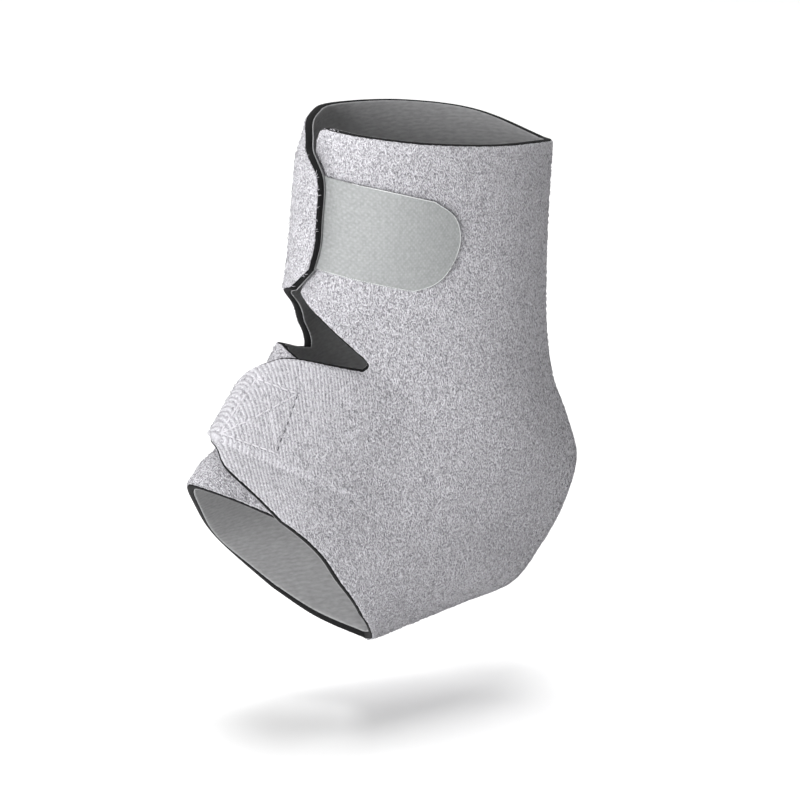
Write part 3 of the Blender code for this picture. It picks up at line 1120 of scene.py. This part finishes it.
def lining_material():
    """Plain nylon jersey: smooth and mid grey, with faint wavy courses and darker slubs."""
    colours = bpy.context.scene.brace_colours
    material, tree, shader = new_material("plain_nylon_jersey")
    place = add(tree, "TexCoord").outputs["Object"]
    # Courses lie 0.5 mm apart, and are drawn at 1.4 mm so that they show. A wave of scale 1
    # repeats every pi / 10.
    wave_scale = math.pi / 10 / (LINING_COURSE * MM)
    courses = add(
        tree,
        "TexWave",
        {"bands_direction": "Z"},
        {"Vector": place, "Scale": wave_scale, "Distortion": 3.0, "Detail": 2.0},
    )
    yarn = add(
        tree,
        "Mapping",
        {"vector_type": "TEXTURE"},
        {"Vector": place, "Scale": [size * MM for size in LINING_SLUB]},
    )
    slubs = add(
        tree,
        "TexNoise",
        {},
        {"Vector": yarn.outputs[0], "Scale": 1.0, "Detail": 2.0},
    )
    height = add(
        tree,
        "Math",
        {"operation": "MULTIPLY_ADD"},
        {0: courses.outputs["Fac"], 1: 0.12, 2: slubs.outputs[0]},
    )
    colour = tinted(tree, colours.lining, height.outputs[0], (0.84, 1.14), (0.3, 0.8))
    bump = add(
        tree,
        "Bump",
        {},
        {"Height": height.outputs[0], "Strength": 0.4, "Distance": 0.2 * MM},
    )
    tree.links.new(colour, shader.inputs["Base Color"])
    tree.links.new(bump.outputs["Normal"], shader.inputs["Normal"])
    shader.inputs["Roughness"].default_value = 0.8
    shader.inputs["Specular IOR Level"].default_value = 0.3
    return material


def hook_material():
    """Woven nylon hook tape: pale and smooth, dotted where the hooks are, light at the cut. The light rim is partly
    the heat-sealed edge's own colour and partly a painted highlight.
    """
    colours = bpy.context.scene.brace_colours
    material, tree, shader = new_material("woven_nylon_hook_tape")
    place = add(tree, "TexCoord").outputs["Object"]
    # The hooks show as dots in staggered rows, HOOK_ROWS apart across the tape and up it
    across_tape, up_tape = HOOK_ROWS
    rows = []
    for way in (1, -1):
        steps = (0, math.pi / (across_tape * MM), way * math.pi / (up_tape * MM))
        along = add(tree, "VectorMath", {"operation": "DOT_PRODUCT"}, {0: place, 1: steps})
        wave = add(tree, "Math", {"operation": "COSINE"}, {0: along.outputs["Value"]})
        rows.append(wave.outputs[0])
    knots = add(tree, "Math", {"operation": "MULTIPLY"}, {0: rows[0], 1: rows[1]})
    knot = knots.outputs[0]
    dots = add(tree, "Math", {"operation": "MULTIPLY"}, {0: knot, 1: knot})
    weave_scale = 1 / (HOOK_WEAVE * MM)
    weave = add(tree, "TexNoise", {}, {"Vector": place, "Scale": weave_scale, "Detail": 2.0})
    height = add(
        tree,
        "Math",
        {"operation": "MULTIPLY_ADD"},
        {0: dots.outputs[0], 1: 0.25, 2: weave.outputs[0]},
    )
    colour = tinted(tree, colours.hook, height.outputs[0], (0.84, 1.16), (0.35, 0.9))
    # The rim round the cut is painted lighter: partly the sealed edge's own colour, partly a painted highlight where
    # light catches the edge
    cut = add(tree, "Attribute", {"attribute_name": "edge"}).outputs["Fac"]
    sealed_and_lit_edge = add(
        tree,
        "Mix",
        {"data_type": "RGBA"},
        {"Factor": cut, "A": colour, "B": opaque(colours.tape_edge)},
    )
    bump = add(
        tree,
        "Bump",
        {},
        {"Height": height.outputs[0], "Strength": 0.4, "Distance": 0.2 * MM},
    )
    tree.links.new(sealed_and_lit_edge.outputs["Result"], shader.inputs["Base Color"])
    tree.links.new(bump.outputs["Normal"], shader.inputs["Normal"])
    shader.inputs["Roughness"].default_value = 0.65
    return material


def thread_material(name, shade):
    """Spun polyester thread: soft in lustre, with a fine twist."""
    sizes = bpy.context.scene.brace_sizes
    material, tree, shader = new_material(name)
    place = add(tree, "TexCoord").outputs["Object"]
    twist = add(
        tree,
        "TexNoise",
        {},
        {"Vector": place, "Scale": 1.5 / sizes.thread_width, "Detail": 1.0},
    )
    colour = tinted(tree, shade, twist.outputs[0], (0.75, 1.15))
    tree.links.new(colour, shader.inputs["Base Color"])
    shader.inputs["Roughness"].default_value = 0.6
    return material


def left_relief(points, rounds, alongs):
    """Pile of the left panel, low on the ribs, with the groove of the stitched box."""
    sizes = bpy.context.scene.brace_sizes
    ribbed = rib_share(rounds, alongs)
    pile = pile_relief(points, sizes.loop_spacing / MM) * (1 - RIB_FLATNESS * ribbed)
    heights = pile * sizes.loop_height / MM - PILE_SEAT - groove(points)
    return heights, [("rib", ribbed), ("relief", pile)]


def right_relief(points, rounds, alongs):
    """Pile of the right panel."""
    sizes = bpy.context.scene.brace_sizes
    pile = pile_relief(points, sizes.loop_spacing / MM)
    return pile * sizes.loop_height / MM - PILE_SEAT, [("rib", 0 * pile), ("relief", pile)]


PanelCut = namedtuple("PanelCut", "name side runs lift relief")
PANELS = (
    PanelCut("left", 1, LEFT_PANEL, left_lift, left_relief),
    PanelCut("right", -1, RIGHT_PANEL, right_lift, right_relief),
)


class BRACE_OT_panels(bpy.types.Operator):
    """Builds the outer knit and the foam core of both panels"""

    bl_idname = "brace.panels"
    bl_label = "Panels"

    def execute(self, context):
        sizes = context.scene.brace_sizes
        knit, foam = loop_knit_material(), foam_material()
        spacings = (sizes.mesh_spacing / MM, KNIT_UNDERSIDE)
        fray = sizes.fray / MM
        for cut in PANELS:
            side, runs, lift = cut.side, cut.runs, cut.lift
            name = cut.name + "_foam_core"
            core, _ = sheet(name, side, runs, FOAM_EDGE, CORE_SPACINGS, lift, foam)
            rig.slot(core, "loop_knit")
            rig.padded(core, fill=1.0)
            name = cut.name + "_knit_face"
            face, area = sheet(
                name, side, runs, KNIT_EDGE, spacings, lift, knit, cut.relief, fray
            )
            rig.replaces(face, cut.name + "_panel")
            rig.slot(face, "loop_knit")
            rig.sheet(face, held="stretched", rests_on=[core], **flat_size(runs, area))
        return {"FINISHED"}


class BRACE_OT_linings(bpy.types.Operator):
    """Builds the knit lining of both panels"""

    bl_idname = "brace.linings"
    bl_label = "Linings"

    def execute(self, context):
        knit = lining_material()
        for cut in PANELS:
            name = cut.name + "_knit_lining"
            lining, area = sheet(
                name, cut.side, cut.runs, LINING_EDGE, LINING_SPACINGS, cut.lift, knit
            )
            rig.replaces(lining, cut.name + "_lining")
            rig.slot(lining, "lining_knit")
            core = cut.name + "_foam_core"
            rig.sheet(lining, held="stretched", rests_on=[core], **flat_size(cut.runs, area))
        return {"FINISHED"}


def tape_edge(thickness):
    """Edge of a hook tape that lies a closure gap over the panel, as a lip that turns under."""
    top = CLOSURE_GAP + thickness
    return [
        Turn(0.8, top),
        Turn(0.5, top),
        Turn(0.1, top - 0.08),
        Turn(0.0, top - 0.3),
        Turn(0.3, CLOSURE_GAP),
    ]


class BRACE_OT_hook_tapes(bpy.types.Operator):
    """Builds the hook tab on the leg and the hook patch under the foot flap"""

    bl_idname = "brace.hook_tapes"
    bl_label = "Hook tapes"

    def execute(self, context):
        tape = hook_material()
        for name, node, runs, thickness, slot in (
            ("leg_hook_tab", "leg_tab", LEG_TAB, TAB_THICK, "hook_tab"),
            ("foot_flap_hook_patch", "foot_hook_patch", FOOT_PATCH, PATCH_THICK, "hook_patch"),
        ):
            edge = tape_edge(thickness)
            piece, _ = sheet(name, 1, runs, edge, TAPE_SPACINGS, flat, tape)
            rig.replaces(piece, node)
            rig.slot(piece, slot)
        return {"FINISHED"}


def bundle(name, paths, outs, radii, sides, material, slot, attributes=()):
    """One object of many short tubes, with attributes given for each tube."""
    points, faces = tubes(paths, outs, radii, sides)
    each = len(points) // len(paths)
    spread = [(key, np.repeat(values, each)) for key, values in attributes]
    made = make_object(name, points, faces, material, spread)
    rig.slot(made, slot)
    return made


def zigzag(pitch):
    """Paths of the zigzag stitch that closes the seam, and the directions out of it."""
    alongs = np.linspace(SEAM_START, SEAM_END, SEAM_POINTS)
    reach = reach_of(SURFACE.at(1, 0 * alongs, alongs, 0 * alongs))
    count = 2 * round(reach[-1] / pitch)
    places = np.interp(np.linspace(0, reach[-1], count + 1), reach, alongs)
    ways = np.where(np.arange(count + 1) % 2, 1, -1)
    rounds = np.array([ZIGZAG_REACH / SURFACE.half_girth(along) for along in places])
    low, high = (SURFACE.at(ways, rounds, places, 0 * places + h) for h in ZIGZAG_HEIGHTS)
    share = np.linspace(0, 1, ZIGZAG_STEPS)[:, None]
    bulge = 4 * share * (1 - share)
    start, stop = low[:-1, None], low[1:, None]
    rise = high[:-1, None] - start
    paths = start * (1 - share) + stop * share + rise * np.sqrt(bulge)
    outs = (high - low)[:-1]
    outs[:, 0] = 0
    return paths, outs


class BRACE_OT_stitching(bpy.types.Operator):
    """Sews the box on the foot flap, and the seam down the back and along the sole"""

    bl_idname = "brace.stitching"
    bl_label = "Stitching"

    def execute(self, context):
        sizes = context.scene.brace_sizes
        colours = context.scene.brace_colours
        thread = thread_material("spun_polyester_thread", colours.thread)
        under = thread_material("dark_polyester_thread", colours.dark_stitches)
        half = sizes.thread_width / MM / 2
        length = sizes.stitch_length / MM
        radii = half * np.array(STITCH_TAPER)
        *clear, faint, dark = box_lines()
        # A row gives the gap, the thickness over the thread's, and the depth under the flap
        for name, lines, gap, thickness, depth, material in (
            ("flap_box_stitch", clear, STITCH_GAP, 1.0, GROOVE_DEPTH + 0.1, thread),
            ("flap_box_sunk_stitch", [faint], STITCH_GAP, 0.9, GROOVE_DEPTH + 0.25, thread),
            ("flap_box_under_stitch", [dark], DARK_STITCH_GAP, 0.5, GROOVE_DEPTH, under),
        ):
            paths, outs = stitches(lines, 1, left_lift, length, gap, depth)
            tapered = thickness * radii
            bundle(name, paths, outs, tapered, STITCH_SIDES, material, "loop_knit")
        paths, outs = zigzag(sizes.zigzag_pitch / MM)
        radii = ZIGZAG_THICKNESS * half * np.ones(ZIGZAG_STEPS)
        name = "seam_zigzag_stitch"
        bundle(name, paths, outs, radii, ZIGZAG_SIDES, thread, "loop_knit")
        return {"FINISHED"}


def pile_loops(cut, spacing, chance):
    """Paths of loops that stand out of a panel's knit, and the directions out of it."""
    places = inner_points(*trace(cut.runs, LOOP_TRACE), spacing, BARE_EDGE)
    stray = chance.uniform(-LOOP_JITTER, LOOP_JITTER, places.shape)
    places += stray * spacing / (ROUND_SCALE, ALONG_SCALE)
    if cut.side > 0:
        places = places[chance.random(len(places)) > RIB_THINNING * rib_share(*places.T)]
    count = len(places)
    base = SURFACE.at(cut.side, *places.T, cut.lift(*places.T) - PILE_SEAT)
    outs = normals_at(cut.side, places, cut.lift)
    lean = PILE_LEAN + chance.normal(0, LEAN_SPREAD, count)
    ahead = np.stack([0 * lean, -np.sin(lean), np.cos(lean)], 1)
    ahead = unit(ahead - outs * np.sum(ahead * outs, axis=1, keepdims=True))
    beside = np.cross(ahead, outs)
    share = np.linspace(-1, 1, len(LOOP_TAPER))[:, None]
    half = chance.uniform(*LOOP_HALF_LENGTH, (count, 1, 1))
    rise = chance.uniform(*LOOP_RISE, (count, 1, 1))
    bend = chance.normal(0, LOOP_BEND, (count, 1, 1))
    paths = base[:, None] + ahead[:, None] * share * half
    paths += outs[:, None] * (rise * (1 - share**2) - LOOP_SEAT)
    paths += beside[:, None] * bend * np.sin(math.pi * share)
    return paths, outs


def frayed_ends(cut, count, chance):
    """Paths of loose yarn ends that hang from a panel's cut edge over the foam."""
    rounds, alongs = trace(cut.runs, FRAYED_TRACE)
    base, out, inset = edge_frame(cut.side, rounds, alongs, cut.lift)
    loose = (rounds > FRAYED_FROM) & (alongs < WING_END)
    picked = chance.choice(np.flatnonzero(loose), count, replace=False)
    base, out, inset = base[picked], out[picked], inset[picked]
    along = np.cross(out, inset)
    share = np.linspace(0, 1, len(FRAYED_TAPER))[:, None]
    down = chance.uniform(*FRAYED_DOWN, (count, 1, 1))
    away = chance.uniform(*FRAYED_AWAY, (count, 1, 1))
    slant = chance.normal(0, FRAYED_SLANT, (count, 1, 1))
    paths = base[:, None] - out[:, None] * (FRAYED_DEPTH + down * share**FRAYED_POWER)
    paths -= inset[:, None] * (away * np.sin(math.pi * FRAYED_TURN * share) - FRAYED_INSET)
    paths += along[:, None] * slant * share
    return paths, out + inset


class BRACE_OT_pile(bpy.types.Operator):
    """Raises loops out of the knit, and frays its cut edges"""

    bl_idname = "brace.pile"
    bl_label = "Pile"

    def execute(self, context):
        sizes = context.scene.brace_sizes
        knit = bpy.data.materials["brushed_nylon_loop_knit"]
        thread = bpy.data.materials["spun_polyester_thread"]
        half = sizes.yarn_width / MM / 2
        spacing = PILE_SPREAD * sizes.loop_spacing / MM
        chance = np.random.default_rng(CHANCE_SEED)
        for cut in PANELS:
            paths, outs = pile_loops(cut, spacing, chance)
            radii = half * np.array(LOOP_TAPER)
            tones = [("relief", chance.uniform(*LOOP_TONES, len(paths)))]
            name = cut.name + "_pile_loops"
            bundle(name, paths, outs, radii, LOOP_SIDES, knit, "loop_knit", tones)
            paths, outs = frayed_ends(cut, FRAYED_ENDS, chance)
            radii = half * np.array(FRAYED_TAPER)
            name = cut.name + "_frayed_ends"
            bundle(name, paths, outs, radii, FRAYED_SIDES, thread, "loop_knit")
        return {"FINISHED"}


def view_direction(azimuth, elevation):
    """Direction from the brace out to a viewer. Azimuth 0 is in front of the toes."""
    a, e = math.radians(azimuth), math.radians(elevation)
    return Vector((math.sin(a) * math.cos(e), -math.cos(a) * math.cos(e), math.sin(e)))


def place_facing(name, data, middle, back, distance):
    """An object that looks back at a place, from a distance in the direction given."""
    made = bpy.data.objects.new(name, data)
    made.location = middle + back * distance
    made.rotation_euler = (-back).to_track_quat("-Z", "Y").to_euler()
    bpy.context.collection.objects.link(made)
    return made


def softbox_light(box):
    """Soft round light that faces the brace."""
    light = bpy.data.lights.new(box.name, "AREA")
    light.shape = "DISK"
    light.size = box.size
    light.energy = box.energy
    back = view_direction(box.azimuth, box.elevation)
    place_facing(box.name, light, Vector(), back, box.distance)


class BRACE_OT_stage(bpy.types.Operator):
    """Makes the floor, the lights and the camera"""

    bl_idname = "brace.stage"
    bl_label = "Stage"

    def execute(self, context):
        scene = context.scene
        scene.view_settings.view_transform = "Standard"
        self.make_floor()
        self.make_camera(scene)
        world = bpy.data.worlds.new("studio")
        world.use_nodes = True
        background = world.node_tree.nodes["Background"]
        background.inputs["Color"].default_value = (1, 1, 1, 1)
        background.inputs["Strength"].default_value = WORLD_STRENGTH
        scene.world = world
        for box in SOFTBOXES:
            softbox_light(box)
        return {"FINISHED"}

    def make_floor(self):
        """White floor, wide enough that no edge of it shows."""
        mesh = bpy.data.meshes.new("floor")
        half = FLOOR_HALF
        corners = [(-half, -half, 0), (half, -half, 0), (half, half, 0), (-half, half, 0)]
        mesh.from_pydata(corners, [], [(0, 1, 2, 3)])
        floor = bpy.data.objects.new("floor", mesh)
        floor.location.z = FLOOR_Z
        material, _, shader = new_material("matt_white_paper")
        shader.inputs["Base Color"].default_value = opaque(linear("FFFFFF"))
        shader.inputs["Roughness"].default_value = 0.9
        mesh.materials.append(material)
        bpy.context.collection.objects.link(floor)
        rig.stage(floor)

    def make_camera(self, scene):
        """Camera at the photograph's angle, with the brace as large as in its frame."""
        data = bpy.data.cameras.new("camera")
        data.sensor_width = SENSOR * 1000
        data.lens = SENSOR * 1000 * DISTANCE / FRAME_WIDTH
        back = view_direction(AZIMUTH, ELEVATION)
        turn = math.radians(AZIMUTH)
        right = Vector((math.cos(turn), math.sin(turn), 0))
        up = back.cross(right)
        middle = -right * ORIGIN_RIGHT - up * ORIGIN_ABOVE
        scene.camera = place_facing("camera", data, middle, back, DISTANCE)


class BRACE_PT_tools(bpy.types.Panel):
    """Lists the operators and settings of the brace"""

    bl_idname = "BRACE_PT_tools"
    bl_label = "Ankle Brace"
    bl_space_type = "VIEW_3D"
    bl_region_type = "UI"
    bl_category = "Brace"

    def draw(self, context):
        layout = self.layout
        for group in (context.scene.brace_sizes, context.scene.brace_colours):
            for name in group.__annotations__:
                layout.prop(group, name)
        for operator in OPERATORS:
            layout.operator(operator.bl_idname)


OPERATORS = (
    BRACE_OT_panels,
    BRACE_OT_linings,
    BRACE_OT_hook_tapes,
    BRACE_OT_stitching,
    BRACE_OT_pile,
    BRACE_OT_stage,
)
CLASSES = (BraceSizes, BraceColours, *OPERATORS, BRACE_PT_tools)


def register():
    for each in CLASSES:
        bpy.utils.register_class(each)
    bpy.types.Scene.brace_sizes = PointerProperty(type=BraceSizes)
    bpy.types.Scene.brace_colours = PointerProperty(type=BraceColours)


def unregister():
    del bpy.types.Scene.brace_sizes
    del bpy.types.Scene.brace_colours
    for each in reversed(CLASSES):
        bpy.utils.unregister_class(each)


def main():
    register()
    bpy.ops.brace.panels()
    bpy.ops.brace.linings()
    bpy.ops.brace.hook_tapes()
    bpy.ops.brace.stitching()
    bpy.ops.brace.pile()
    bpy.ops.brace.stage()
    with open(SIZE_FILE, "w") as file:
        boxes = {"cad": CAD_BOX, "visual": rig.bounds()}
        json.dump({k: [list(lo), list(hi)] for k, (lo, hi) in boxes.items()}, file)


if __name__ == "__main__":
    main()
